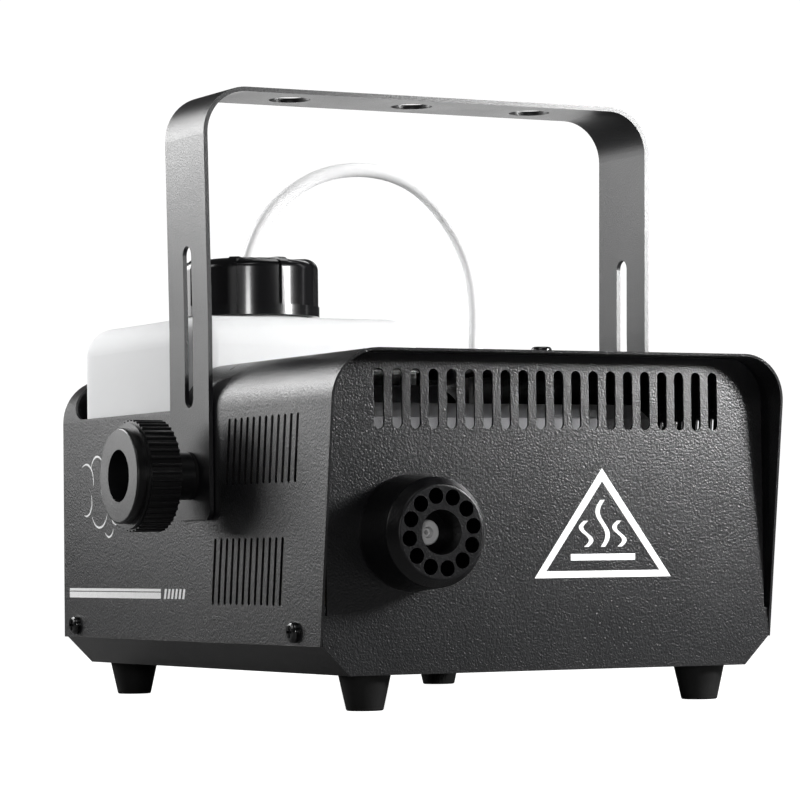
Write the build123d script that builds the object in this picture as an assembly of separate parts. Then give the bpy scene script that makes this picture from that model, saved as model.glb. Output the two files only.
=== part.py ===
"""Table-top fog machine: folded steel case, lift-out fluid tank, heater, pump and tilting yoke.

Millimetres, +Z up. The machine stands on z = 0, its nozzle faces -Y and x = 0 is its middle.
Each function below makes one physical piece, or one group of identical pieces.
"""

from build123d import *
import math
import os

# ---- driving dimensions ---------------------------------------------------------------

SHEET = 1.0  # case sheet thickness
COVER_HALF = 99.6  # outer half width of the cover
COVER_BOTTOM = 24.6
COVER_TOP = 135.2
COVER_BEND = 19.0  # outer radius of the two long edges
COVER_REAR = 133.2
HOOD_BOTTOM_Y = -112.2  # front edge of the cover, at its bottom
HOOD_TOP_Y = -126.2  # front edge of the cover, at its top

FLOOR_Z = 13.5  # underside of the chassis
CHASSIS_HALF = 98.5
CHAMFER = COVER_BOTTOM - FLOOR_Z  # 45 degree lower edges
SIDE_FLANGE_TOP = 36.0
PANEL_HALF = 96.7  # front and rear panels, above the side flanges
FRONT_Y = -112.5  # outer face of the front panel
REAR_Y = 132.2  # outer face of the rear panel
CHASSIS_REAR = REAR_Y - SHEET
INNER_TOP = COVER_TOP - SHEET

TANK_X = (-97.0, 10.5)
TANK_Y = (6.0, 122.5)
TANK_Z = (30.0, 156.0)
TANK_WALL = 1.8
WINDOW_Y = (5.0, 124.4)  # opening in the cover that the tank stands in
WINDOW_SIDE_Z = 117.3
WINDOW_RIGHT_X = 14.0
WINDOW_CORNER = 13.0

CAP_X = -43.2
CAP_Y = 64.2
CAP_BOTTOM = 158.6
CAP_TOP = 183.0
CAP_RADIUS = 30.0
NECK_TOP = 172.0

PIVOT_Y = -2.7  # the yoke turns about a line along X through this point
PIVOT_Z = 90.5
YOKE_WIDTH = 37.0
YOKE_SHEET = 1.8
YOKE_INNER = 100.0  # half gap between the legs where they lie on the case
YOKE_SPLAY = 1.5
YOKE_TOP = 244.6
YOKE_BOTTOM = 72.9
YOKE_BEND = 19.0
BAR_HOLE_SPACING = 56.0
BAR_HOLE_RADIUS = 8.45

STUD_RADIUS = 3.9
STUD_CLEARANCE = 0.08
WASHER = (102.0, 103.4)  # clamp washer, outward from the middle
KNOB_FACE = 132.6
KNOB_GRIP = (115.0, 127.6)

NOZZLE_X = -61.0
NOZZLE_Z = 66.5
NOZZLE_FACE = -136.5
RECESS_FLOOR = NOZZLE_FACE + 12.6
TIP_BACK = NOZZLE_FACE + 18.0  # back of the tip's body, where its thin shank starts
JET_RADIUS = 0.9

FOOT_X = 74.4
FOOT_Y = (-99.0, 116.6)

HOSE_RADIUS = 3.0
HOSE_ROUTE = [
    (-43.2, 64.2, 183.0),
    (-40.5, 63.1, 194.3),
    (-31.2, 59.2, 208.5),
    (-15.5, 52.7, 219.8),
    (3.0, 45.1, 222.5),
    (21.0, 37.6, 216.8),
    (34.9, 31.9, 201.5),
    (44.1, 28.1, 182.0),
    (46.4, 27.1, 163.0),
    (45.7, 27.4, 147.0),
    (45.7, 27.4, 133.2),
]
GROMMET_X = HOSE_ROUTE[-1][0]
GROMMET_Y = HOSE_ROUTE[-1][1]

SCREW_RADIUS = 1.95  # M4
SCREW_HOLE = 2.0
SCREW_HEAD = 4.0
SIDE_SCREWS = [(119.6, 29.8), (-91.5, 29.8)]  # y, z on both sides
TOP_SCREW_Y = -106.5

HEATER_X = (-85.0, -37.0)
HEATER_Y = (-98.0, -16.0)
HEATER_Z = (44.0, 89.0)
HEATER_RODS = [(-73.0, 74.0), (-49.0, 74.0)]  # x, z of the two heating rods
INSULATION = 4.0

PUMP_X = 60.0
PUMP_Y = (18.0, 92.0)
PUMP_Z = 50.0
COIL_Y = (34.0, 70.0)
PLUNGER_Y = (40.0, 58.0)
INTAKE_Y = 26.0  # the spigot on top of the pump

BOARD_X = (19.5, 21.1)
BOARD_Y = (40.0, 104.0)
BOARD_Z = (72.0, 124.0)

INLET_X = 60.0  # mains inlet on the rear panel
INLET_Z = 52.0
SWITCH_X = 30.0
SWITCH_Z = 52.0
REMOTE_X = 60.0
REMOTE_Z = 96.0
LAMP_X = 30.0
LAMP_Z = 96.0
ROCKER_PIVOT_Y = REAR_Y - 3.0
PANEL_CUT = (REAR_Y - 4, REAR_Y + 4)  # reach of the cuts through the rear panel


# ---- helpers --------------------------------------------------------------------------


def block(x, y, z):
    """A box from three (low, high) pairs."""
    size = [high - low for low, high in (x, y, z)]
    centre = [(high + low) / 2 for low, high in (x, y, z)]
    return Pos(*centre) * Box(*size)


def rod_x(x, y, z, radius):
    return Pos((x[0] + x[1]) / 2, y, z) * Rot(0, 90, 0) * Cylinder(radius, x[1] - x[0])


def rod_y(x, y, z, radius):
    return Pos(x, (y[0] + y[1]) / 2, z) * Rot(90, 0, 0) * Cylinder(radius, y[1] - y[0])


def rod_z(x, y, z, radius):
    return Pos(x, y, (z[0] + z[1]) / 2) * Cylinder(radius, z[1] - z[0])


def along_x(sketch, x):
    """Extrude a sketch drawn in (Y, Z) from x[0] to x[1]."""
    plane = Plane(origin=(x[0], 0, 0), x_dir=(0, 1, 0), z_dir=(1, 0, 0))
    return extrude(plane * sketch, x[1] - x[0])


def along_y(sketch, y):
    """Extrude a sketch drawn in (X, Z) from y[0] to y[1]."""
    plane = Plane(origin=(0, y[1], 0), x_dir=(1, 0, 0), z_dir=(0, -1, 0))
    return extrude(plane * sketch, y[1] - y[0])


def along_z(sketch, z):
    """Extrude a sketch drawn in (X, Y) from z[0] to z[1]."""
    return extrude(Plane.XY.offset(z[0]) * sketch, z[1] - z[0])


def polygon(*points):
    return make_face(Polyline(*points, close=True))


def pipe(points, radius, radii):
    """A round bar along straight runs joined by tangent arcs."""
    path = FilletPolyline(*points, radius=radii)
    return sweep(Plane(path @ 0, z_dir=path % 0) * Circle(radius), path=path)


def hose_pipe(points, radius, label):
    """A pipe whose arcs are as large as their runs allow."""
    corners = [Vector(*point) for point in points]
    runs = [corners[i + 1] - corners[i] for i in range(len(corners) - 1)]
    radii = []
    for before, after in zip(runs, runs[1:]):
        turn = math.radians(before.get_angle(after))
        radii.append(0.45 * min(before.length, after.length) / math.tan(turn / 2))
    print(label, "radii", [round(value, 1) for value in radii])
    solid = pipe(points, radius, radii)
    length = FilletPolyline(*points, radius=radii).length
    print(label, "length", round(length, 1), "volume", round(solid.volume, 1))
    print(label, "section x length", round(math.pi * radius**2 * length, 1))
    return solid


def arch(half, bottom, top, radius):
    """An upright rectangle with rounded top corners, in (X, Z)."""
    sketch = Pos(0, (bottom + top) / 2) * Rectangle(2 * half, top - bottom)
    return fillet(sketch.vertices().sort_by(Axis.Y)[-2:], radius)


def pan_section(half, bottom, top, chamfer):
    """A closed outline with 45 degree lower corners, in (X, Z)."""
    return polygon(
        (-half, top),
        (-half, bottom + chamfer),
        (-half + chamfer, bottom),
        (half - chamfer, bottom),
        (half, bottom + chamfer),
        (half, top),
    )


def pan_head_screw(length):
    """A cross-recessed pan head screw: seat at z = 0, shank down, head up."""
    head = fillet((Pos(0, 0, 1.25) * Cylinder(SCREW_HEAD, 2.5)).edges().sort_by(Axis.Z)[-1:], 1.4)
    recess = block((-2.2, 2.2), (-0.5, 0.5), (1.0, 3.0)) + block((-0.5, 0.5), (-2.2, 2.2), (1.0, 3.0))
    return head + rod_z(0, 0, (-length, 0.2), SCREW_RADIUS) - recess


def round_slot(length, width, angle=90):
    return SlotOverall(length, width, rotation=angle)


# ---- sheet metal case -----------------------------------------------------------------


def tank_window():
    side_height = 60.0
    side = Pos((WINDOW_Y[0] + WINDOW_Y[1]) / 2, WINDOW_SIDE_Z + side_height / 2)
    side *= Rectangle(WINDOW_Y[1] - WINDOW_Y[0], side_height)
    side = fillet(side.vertices().sort_by(Axis.Y)[:2], WINDOW_CORNER)
    left = -COVER_HALF + COVER_BEND
    top = Pos((left + WINDOW_RIGHT_X) / 2, (WINDOW_Y[0] + WINDOW_Y[1]) / 2)
    top *= Rectangle(WINDOW_RIGHT_X - left, WINDOW_Y[1] - WINDOW_Y[0])
    top = fillet(top.vertices().sort_by(Axis.X)[-2:], WINDOW_CORNER)
    return [along_x(side, (-COVER_HALF - 5, left)), along_z(top, (COVER_TOP - 10, COVER_TOP + 10))]


def louvres():
    """Two rows of slanted slots on each side of the cover."""
    count = 12
    pitch = 5.47
    lean = math.atan2(3.3, 26.0)
    slots = []
    for first_y, middle_z in ((-34.15, 99.0), (-20.05, 52.5)):
        for index in range(count):
            place = Pos(first_y - index * pitch, middle_z)
            slots.append(place * round_slot(26.3, 2.2, 90 + math.degrees(lean)))
    cutters = []
    for slot in slots:
        cutters.append(along_x(slot, (-COVER_HALF - 2, -COVER_HALF + 3)))
        cutters.append(along_x(slot, (COVER_HALF - 3, COVER_HALF + 2)))
    return cutters


def cover():
    outer = arch(COVER_HALF, COVER_BOTTOM, COVER_TOP, COVER_BEND)
    inner = arch(COVER_HALF - SHEET, COVER_BOTTOM - 1, INNER_TOP, COVER_BEND - SHEET)
    shell = along_y(outer - inner, (HOOD_TOP_Y - 5, COVER_REAR))
    slope = (HOOD_TOP_Y - HOOD_BOTTOM_Y) / (COVER_TOP - COVER_BOTTOM)
    low_z = COVER_BOTTOM - 10
    high_z = COVER_TOP + 10
    front = polygon(
        (HOOD_BOTTOM_Y + slope * (low_z - COVER_BOTTOM), low_z),
        (HOOD_BOTTOM_Y + slope * (high_z - COVER_BOTTOM), high_z),
        (HOOD_TOP_Y - 40, high_z),
        (HOOD_TOP_Y - 40, low_z),
    )
    shell -= along_x(front, (-120, 120))
    shell -= tank_window()
    shell -= louvres()
    holes = [rod_x((-110, 110), y, z, SCREW_HOLE) for y, z in SIDE_SCREWS]
    holes.append(rod_x((-110, 110), PIVOT_Y, PIVOT_Z, STUD_RADIUS + 0.3))
    holes.append(rod_z(0, TOP_SCREW_Y, (COVER_TOP - 5, COVER_TOP + 5), SCREW_HOLE))
    holes.append(rod_z(GROMMET_X, GROMMET_Y, (COVER_TOP - 5, COVER_TOP + 5), 5.0))
    return shell - holes


def chassis():
    outer = pan_section(CHASSIS_HALF, FLOOR_Z, SIDE_FLANGE_TOP, CHAMFER)
    bevel_inset = SHEET * math.tan(math.radians(22.5))
    inner = pan_section(
        CHASSIS_HALF - SHEET, FLOOR_Z + SHEET, SIDE_FLANGE_TOP + 1, CHAMFER - SHEET + bevel_inset
    )
    pan = along_y(outer - inner, (FRONT_Y + SHEET, CHASSIS_REAR))
    floor_half = CHASSIS_HALF - CHAMFER
    pan -= block((-floor_half, floor_half), (FRONT_Y, FRONT_Y + 14.5), (FLOOR_Z - 1, FLOOR_Z + SHEET))
    holes = [rod_x((-110, 110), y, z, SCREW_HOLE) for y, z in SIDE_SCREWS]
    for x in (-FOOT_X, FOOT_X):
        holes += [rod_z(x, y, (FLOOR_Z - 2, FLOOR_Z + 3), SCREW_HOLE) for y in FOOT_Y]
    vents = []
    for index in range(8):
        place = Pos(20 + index * 8.0, -40)
        vents.append(along_z(place * round_slot(40, 3.5), (FLOOR_Z - 1, FLOOR_Z + 3)))
    return pan - holes - vents


def end_panel_outline(top):
    """Front and rear panels: chamfered below, a little narrower above the side flanges."""
    low = pan_section(CHASSIS_HALF, FLOOR_Z, SIDE_FLANGE_TOP, CHAMFER)
    high = arch(PANEL_HALF, SIDE_FLANGE_TOP - 1, top, COVER_BEND - 3)
    return low + high


def front_panel():
    panel = along_y(end_panel_outline(INNER_TOP - 0.2), (FRONT_Y, FRONT_Y + SHEET))
    lip_half = CHASSIS_HALF - CHAMFER - 0.1
    lip = block((-lip_half, lip_half), (FRONT_Y + SHEET, FRONT_Y + 14.4), (FLOOR_Z, FLOOR_Z + SHEET))
    top_flange = block((-60, 60), (FRONT_Y + SHEET, FRONT_Y + 14), (INNER_TOP - 1.2, INNER_TOP - 0.2))
    panel = panel + lip + top_flange
    lower_front = panel.edges().filter_by(Axis.X)
    lower_front = lower_front.sort_by(Axis.Z)[:2].sort_by(Axis.Y)[:1]
    panel = fillet(lower_front, 0.9)
    slots = []
    count = 20
    pitch = 7.79
    for index in range(count):
        place = Pos((index - (count - 1) / 2) * pitch, 116.95)
        slots.append(along_y(place * round_slot(22.7, 4.3), (FRONT_Y - 2, FRONT_Y + 3)))
    bore = rod_y(NOZZLE_X, (FRONT_Y - 2, FRONT_Y + 3), NOZZLE_Z, 6.0)
    screws = [rod_z(0, TOP_SCREW_Y, (INNER_TOP - 4, INNER_TOP + 2), SCREW_HOLE)]
    screws += [rod_z(x, FOOT_Y[0], (FLOOR_Z - 2, FLOOR_Z + 3), SCREW_HOLE) for x in (-FOOT_X, FOOT_X)]
    return panel - slots - bore - screws


def rear_panel():
    panel = along_y(end_panel_outline(INNER_TOP - 0.2), (CHASSIS_REAR, REAR_Y))
    cuts = [
        block((INLET_X - 14, INLET_X + 14), PANEL_CUT, (INLET_Z - 12, INLET_Z + 20)),
        block((SWITCH_X - 6.5, SWITCH_X + 6.5), PANEL_CUT, (SWITCH_Z - 9.8, SWITCH_Z + 9.8)),
        rod_y(REMOTE_X, PANEL_CUT, REMOTE_Z, 8.0),
        rod_y(LAMP_X, PANEL_CUT, LAMP_Z, 4.0),
    ]
    for row_z in (50.0, 84.0):
        for index in range(9):
            place = Pos(-76 + index * 8.0, row_z)
            cuts.append(along_y(place * round_slot(24, 3.5), PANEL_CUT))
    return panel - cuts


def tank_tray():
    """Open-topped steel well that keeps the tank away from the heater and the board."""
    x = (-91.0, 13.5)
    y = (2.5, 125.5)
    well = block(x, y, (27.0, 128.0)) - block((x[0] - 1, x[1] - SHEET), (y[0] + SHEET, y[1] - SHEET), (28.0, 130.0))
    legs = [
        block((x[0] + 6, x[0] + 18), (y[0], y[0] + SHEET), (FLOOR_Z + SHEET, 27.0)),
        block((x[1] - SHEET, x[1]), (20.0, 110.0), (FLOOR_Z + SHEET, 27.0)),
        block((x[0] + 6, x[0] + 18), (y[1] - SHEET, y[1]), (FLOOR_Z + SHEET, 27.0)),
    ]
    for leg in legs:
        well += leg
    return well


# ---- feet and fasteners ---------------------------------------------------------------


def foot_places():
    return [(x, y) for x in (-FOOT_X, FOOT_X) for y in FOOT_Y]


def feet():
    solids = []
    for x, y in foot_places():
        foot = Pos(x, y, FLOOR_Z / 2) * Cone(7.0, 10.0, FLOOR_Z)
        foot = fillet(foot.edges().sort_by(Axis.Z)[:1], 0.8)
        foot -= rod_z(x, y, (-1, 7.0), 4.4)
        foot -= rod_z(x, y, (6, FLOOR_Z + 1), SCREW_HOLE)
        solids.append(foot)
    return Compound(solids)


def foot_screws():
    solids = []
    for x, y in foot_places():
        solids.append(Pos(x, y, 7.0) * Rot(180, 0, 0) * pan_head_screw(14.0))
    return Compound(solids)


def foot_nuts():
    solids = []
    for x, y in foot_places():
        hexagon = along_z(Pos(x, y) * RegularPolygon(4.0, 6), (FLOOR_Z + SHEET, FLOOR_Z + SHEET + 3.2))
        solids.append(hexagon - rod_z(x, y, (FLOOR_Z, FLOOR_Z + 8), SCREW_HOLE))
    return Compound(solids)


def cover_screws():
    solids = []
    for y, z in SIDE_SCREWS:
        solids.append(Pos(-COVER_HALF, y, z) * Rot(0, -90, 0) * pan_head_screw(7.0))
        solids.append(Pos(COVER_HALF, y, z) * Rot(0, 90, 0) * pan_head_screw(7.0))
    return Compound(solids)


def top_screw():
    return Pos(0, TOP_SCREW_Y, COVER_TOP) * pan_head_screw(7.0)


def pivot_nuts():
    """Round weld nuts inside the cover that take the two knob studs."""
    inner = COVER_HALF - SHEET
    solids = []
    for x in ((-inner, -inner + 7), (inner - 7, inner)):
        nut = rod_x(x, PIVOT_Y, PIVOT_Z, 5.0)
        solids.append(nut - rod_x((x[0] - 1, x[1] + 1), PIVOT_Y, PIVOT_Z, STUD_RADIUS + STUD_CLEARANCE))
    return Compound(solids)


# ---- nozzle and heater ----------------------------------------------------------------


def nozzle_shroud():
    """Turned black collar with a ring of twelve holes around a recessed outlet."""
    outline = polygon(
        (0, FRONT_Y),
        (22.0, FRONT_Y),
        (22.0, FRONT_Y - 1.5),
        (20.7, NOZZLE_FACE + 4.6),
        (17.75, NOZZLE_FACE),
        (0, NOZZLE_FACE),
    )
    collar = revolve(outline, axis=Axis.Y)
    rim = collar.edges().filter_by(GeomType.CIRCLE).sort_by(Axis.Y)
    collar = fillet(rim[0:2], 1.2)
    collar = Pos(NOZZLE_X, 0, NOZZLE_Z) * collar
    cuts = [
        rod_y(NOZZLE_X, (NOZZLE_FACE - 1, RECESS_FLOOR), NOZZLE_Z, 8.35),
        rod_y(NOZZLE_X, (RECESS_FLOOR - 1, TIP_BACK), NOZZLE_Z, 4.75),
        rod_y(NOZZLE_X, (TIP_BACK - 1, FRONT_Y + 1), NOZZLE_Z, 1.9),
    ]
    ring_radius = 13.6
    first = -9.4
    count = 12
    for index in range(count):
        angle = math.radians(first + 360 / count * index)
        x = NOZZLE_X + ring_radius * math.sin(angle)
        z = NOZZLE_Z + ring_radius * math.cos(angle)
        cuts.append(rod_y(x, (NOZZLE_FACE - 1, NOZZLE_FACE + 15), z, 3.0))
    return collar - cuts


def nozzle_tip():
    """Small silver orifice at the bottom of the shroud's recess, its jet sunk in a round well."""
    front = RECESS_FLOOR - 2.0
    well_floor = front + 5.0
    body = rod_y(NOZZLE_X, (front, TIP_BACK), NOZZLE_Z, 4.7)
    body = chamfer(body.edges().filter_by(GeomType.CIRCLE).sort_by(Axis.Y)[:1], 0.4)
    body -= rod_y(NOZZLE_X, (front - 1, well_floor), NOZZLE_Z, 2.15)
    jet = rod_y(NOZZLE_X, (front + 1.6, well_floor + 1), NOZZLE_Z, 1.55)
    shank = rod_y(NOZZLE_X, (TIP_BACK - 0.5, FRONT_Y), NOZZLE_Z, 1.85)
    return body + jet + shank - rod_y(NOZZLE_X, (front - 1, FRONT_Y + 1), NOZZLE_Z, JET_RADIUS)


def nozzle_pipe():
    pipe_y = (FRONT_Y, HEATER_Y[0] + 2)
    tube = rod_y(NOZZLE_X, pipe_y, NOZZLE_Z, 4.5)
    return tube - rod_y(NOZZLE_X, (pipe_y[0] - 1, pipe_y[1] + 1), NOZZLE_Z, 1.5)


def heater_block():
    body = fillet(block(HEATER_X, HEATER_Y, HEATER_Z).edges().filter_by(Axis.Y), 4.0)
    cuts = [
        rod_y(NOZZLE_X, (HEATER_Y[0] - 1, HEATER_Y[0] + 20), NOZZLE_Z, 4.5),
        rod_y(NOZZLE_X, (HEATER_Y[1] - 12, HEATER_Y[1] + 1), PUMP_Z, 2.0),
    ]
    cuts += [rod_y(x, (HEATER_Y[0] + 6, HEATER_Y[1] + 1), z, 4.0) for x, z in HEATER_RODS]
    return body - cuts


def heating_element():
    """Two straight sheathed heating rods with their terminal pins."""
    solids = []
    for x, z in HEATER_RODS:
        rod = rod_y(x, (HEATER_Y[0] + 8, HEATER_Y[1] + 6), z, 4.0)
        solids.append(rod + rod_y(x, (HEATER_Y[1] + 6, HEATER_Y[1] + 12), z, 1.2))
    return Compound(solids)


def heater_insulation():
    """Mineral wool wrapped round the block, open at its two ends."""
    wrap_y = (HEATER_Y[0] + 4, HEATER_Y[1] - 4)
    wrap_x = (HEATER_X[0] - INSULATION, HEATER_X[1] + INSULATION)
    outer = block(wrap_x, wrap_y, (HEATER_Z[0] - INSULATION, HEATER_Z[1] + INSULATION))
    return outer - block(HEATER_X, HEATER_Y, HEATER_Z)


def heater_feet():
    """Ceramic spacers that hold the hot block off the floor."""
    solids = []
    for x in (HEATER_X[0] + 6, HEATER_X[1] - 6):
        for y in (-88.0, -26.0):
            solids.append(rod_z(x, y, (FLOOR_Z + SHEET, HEATER_Z[0] - INSULATION), 4.0))
    return Compound(solids)


def heater_shield():
    """Folded steel canopy over the heater, seen through the front slots."""
    face_y = -76.0
    back_y = -12.0
    bend_z = 111.5
    top_z = 117.3
    x = (-92.0, 73.0)
    outer = polygon((face_y, 96.0), (face_y, bend_z), (face_y + 5.8, top_z), (back_y, top_z), (back_y, 96.0))
    inner = polygon(
        (face_y + SHEET, 95.0),
        (face_y + SHEET, bend_z - 0.4),
        (face_y + 6.2, top_z - SHEET),
        (back_y - SHEET, top_z - SHEET),
        (back_y - SHEET, 95.0),
    )
    canopy = along_x(outer - inner, x)
    corner = polygon((x[1] + 1, 99.0), (x[1] + 1, 125.0), (x[1] - 12, 125.0), (x[1] - 8, top_z - 1))
    canopy -= along_y(corner, (-80.0, -60.0))
    back_leg_y = (back_y - SHEET, back_y)
    front_leg_y = (face_y, face_y + SHEET)
    for leg_x, leg_y in (((-86, -78), back_leg_y), ((52, 64), back_leg_y), ((44, 60), front_leg_y)):
        canopy += block(leg_x, leg_y, (FLOOR_Z + SHEET, 97.0))
    return canopy


def thermostat():
    """Button thermostat clipped on top of the block, through the insulation."""
    z = HEATER_Z[1] + INSULATION
    can = rod_z(-70.0, -50.0, (z, z + 6), 8.0)
    return can + rod_z(-70.0, -50.0, (z + 6, z + 9), 5.0)


def thermal_fuse():
    radius = 2.0
    return rod_y(-48.0, (-60.0, -44.0), HEATER_Z[1] + INSULATION + radius, radius)


# ---- pump and fluid lines -------------------------------------------------------------


def pump_body():
    """Oscillating pump: a brass cylinder with an inlet spigot on top and an outlet in front."""
    body = rod_y(PUMP_X, PUMP_Y, PUMP_Z, 9.0)
    body += rod_z(PUMP_X, INTAKE_Y, (PUMP_Z, PUMP_Z + 16), 4.0)
    body += rod_y(PUMP_X, (PUMP_Y[0] - 4, PUMP_Y[0] + 1), PUMP_Z, 4.0)
    cuts = [
        rod_y(PUMP_X, (38.0, 84.0), PUMP_Z, 6.0),
        rod_z(PUMP_X, INTAKE_Y, (PUMP_Z, PUMP_Z + 17), 1.6),
        rod_y(PUMP_X, (PUMP_Y[0] - 5, 40.0), PUMP_Z, 1.5),
    ]
    return body - cuts


def pump_coil():
    coil = block((PUMP_X - 17, PUMP_X + 17), COIL_Y, (PUMP_Z - 17, PUMP_Z + 17))
    coil = fillet(coil.edges().filter_by(Axis.Y), 4.0)
    return coil - rod_y(PUMP_X, (COIL_Y[0] - 1, COIL_Y[1] + 1), PUMP_Z, 9.0)


def pump_bracket():
    """Bent foot that carries the pump behind its coil."""
    upright = block((PUMP_X - 14, PUMP_X + 14), (COIL_Y[1] + 1, COIL_Y[1] + 2.5), (FLOOR_Z + SHEET, PUMP_Z + 13))
    foot = block((PUMP_X - 14, PUMP_X + 14), (COIL_Y[1] + 1, COIL_Y[1] + 16), (FLOOR_Z + SHEET, FLOOR_Z + 2.5))
    return upright + foot - rod_y(PUMP_X, (COIL_Y[1], COIL_Y[1] + 4), PUMP_Z, 9.0)


def pump_plunger():
    return rod_y(PUMP_X, PLUNGER_Y, PUMP_Z, 5.92)


def pump_spring():
    """Return spring, as a plain sleeve between the plunger and the pump's end."""
    spring_y = (PLUNGER_Y[1], 84.0)
    return rod_y(PUMP_X, spring_y, PUMP_Z, 4.6) - rod_y(PUMP_X, (spring_y[0] - 1, spring_y[1] + 1), PUMP_Z, 3.8)


def pump_hose():
    """Inner end of the fluid hose, from the grommet down to the pump's inlet spigot."""
    route = [
        (GROMMET_X, GROMMET_Y, HOSE_ROUTE[-1][2]),
        (GROMMET_X, GROMMET_Y, 116.0),
        (51.5, 26.9, 99.0),
        (PUMP_X, INTAKE_Y, 84.0),
        (PUMP_X, INTAKE_Y, PUMP_Z + 16),
    ]
    return hose_pipe(route, HOSE_RADIUS, "pump_hose")


def feed_pipe():
    """Copper line from the pump's outlet to the back of the heater block."""
    corner_y = -5.0
    route = [
        (PUMP_X, PUMP_Y[0] - 4, PUMP_Z),
        (PUMP_X, corner_y, PUMP_Z),
        (NOZZLE_X, corner_y, PUMP_Z),
        (NOZZLE_X, HEATER_Y[1] - 10, PUMP_Z),
    ]
    return pipe(route, 2.0, [9.0, 9.0])


def hose():
    return hose_pipe(HOSE_ROUTE, HOSE_RADIUS, "hose")


def hose_grommet():
    """Rubber ring in the cover, with a groove that grips the sheet."""
    ring = rod_z(GROMMET_X, GROMMET_Y, (HOSE_ROUTE[-1][2], COVER_TOP + 1.8), 7.0)
    ring = fillet(ring.edges().filter_by(GeomType.CIRCLE).sort_by(Axis.Z)[-1:], 1.2)
    groove = rod_z(GROMMET_X, GROMMET_Y, (INNER_TOP, COVER_TOP), 8.0)
    groove -= rod_z(GROMMET_X, GROMMET_Y, (INNER_TOP - 1, COVER_TOP + 1), 5.0)
    return ring - groove - rod_z(GROMMET_X, GROMMET_Y, (120, 140), HOSE_RADIUS)


# ---- electrical parts -----------------------------------------------------------------


def control_board():
    board = block(BOARD_X, BOARD_Y, BOARD_Z)
    for y in (BOARD_Y[0] + 5, BOARD_Y[1] - 5):
        for z in (BOARD_Z[0] + 5, BOARD_Z[1] - 5):
            board -= rod_x((BOARD_X[0] - 1, BOARD_X[1] + 1), y, z, 1.7)
    return board


def board_standoffs():
    solids = []
    for y in (BOARD_Y[0] + 5, BOARD_Y[1] - 5):
        for z in (BOARD_Z[0] + 5, BOARD_Z[1] - 5):
            post = rod_x((13.5, BOARD_X[0]), y, z, 3.0)
            solids.append(post + rod_x((BOARD_X[0] - 0.5, BOARD_X[1] + 1.5), y, z, 1.6))
    return Compound(solids)


def board_relay():
    relay = block((BOARD_X[1], BOARD_X[1] + 16), (84.0, 97.0), (92.0, 112.0))
    return fillet(relay.edges().filter_by(Axis.X), 1.0)


def board_capacitor():
    return rod_x((BOARD_X[1], BOARD_X[1] + 18), 70.0, 104.0, 6.5)


def terminal_block():
    body = block((BOARD_X[1], BOARD_X[1] + 11), (52.0, 88.0), (78.0, 88.0))
    for index in range(6):
        body -= rod_x((BOARD_X[1] + 5, BOARD_X[1] + 12), 55.0 + index * 6.0, 83.0, 2.0)
    return body


def power_inlet():
    """Three-pin mains inlet with a pocket for the fuse drawer above its socket."""
    flange = block((INLET_X - 17, INLET_X + 17), (REAR_Y, REAR_Y + 2.5), (INLET_Z - 15, INLET_Z + 23))
    flange = fillet(flange.edges().filter_by(Axis.Y), 3.0)
    body = block((INLET_X - 13.5, INLET_X + 13.5), (108.0, REAR_Y + 0.5), (INLET_Z - 11.5, INLET_Z + 19.5))
    cavity_outline = Pos(INLET_X, INLET_Z - 0.5) * Rectangle(24.0, 16.6)
    cavity_outline = chamfer(cavity_outline.vertices().sort_by(Axis.Y)[-2:], 4.0)
    cavity = along_y(cavity_outline, (REAR_Y + 2.5 - 17.0, REAR_Y + 4))
    pocket = block((INLET_X - 11.3, INLET_X + 11.3), (112.0, REAR_Y + 4), (INLET_Z + 9.7, INLET_Z + 18.3))
    return flange + body - cavity - pocket


def inlet_pins():
    """Line, neutral and earth blades inside the mains inlet."""
    solids = []
    for x, z in ((-7.0, -2.5), (7.0, -2.5), (0.0, 2.5)):
        pin_x = (INLET_X + x - 1.0, INLET_X + x + 1.0)
        pin_z = (INLET_Z + z - 2.0, INLET_Z + z + 2.0)
        solids.append(block(pin_x, (REAR_Y + 2.5 - 17.0, REAR_Y - 1.0), pin_z))
    return Compound(solids)


def fuse_drawer():
    front = block((INLET_X - 10.9, INLET_X + 10.9), (REAR_Y, REAR_Y + 3.8), (INLET_Z + 10.1, INLET_Z + 17.9))
    tray = block((INLET_X - 10.9, INLET_X + 10.9), (REAR_Y - 14, REAR_Y), (INLET_Z + 10.1, INLET_Z + 17.9))
    tray -= block((INLET_X - 10.2, INLET_X + 10.2), (REAR_Y - 10, REAR_Y - 4), (INLET_Z + 10.9, INLET_Z + 20))
    notch = block((INLET_X - 4, INLET_X + 4), (REAR_Y + 2.8, REAR_Y + 5), (INLET_Z + 15.5, INLET_Z + 20))
    return front + tray - notch


def fuse():
    return rod_x((INLET_X - 10.0, INLET_X + 10.0), REAR_Y - 7.0, INLET_Z + 13.5, 2.5)


def switch_housing():
    flange = block((SWITCH_X - 7.5, SWITCH_X + 7.5), (REAR_Y, REAR_Y + 1.6), (SWITCH_Z - 10.8, SWITCH_Z + 10.8))
    flange = fillet(flange.edges().filter_by(Axis.Y), 1.0)
    body = block((SWITCH_X - 6.3, SWITCH_X + 6.3), (114.0, REAR_Y + 0.5), (SWITCH_Z - 9.6, SWITCH_Z + 9.6))
    well = block((SWITCH_X - 5.2, SWITCH_X + 5.2), (120.0, REAR_Y + 4), (SWITCH_Z - 8.4, SWITCH_Z + 8.4))
    pin_hole = rod_x((SWITCH_X - 6.0, SWITCH_X + 6.0), ROCKER_PIVOT_Y, SWITCH_Z, 1.3)
    return flange + body - well - pin_hole


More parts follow.
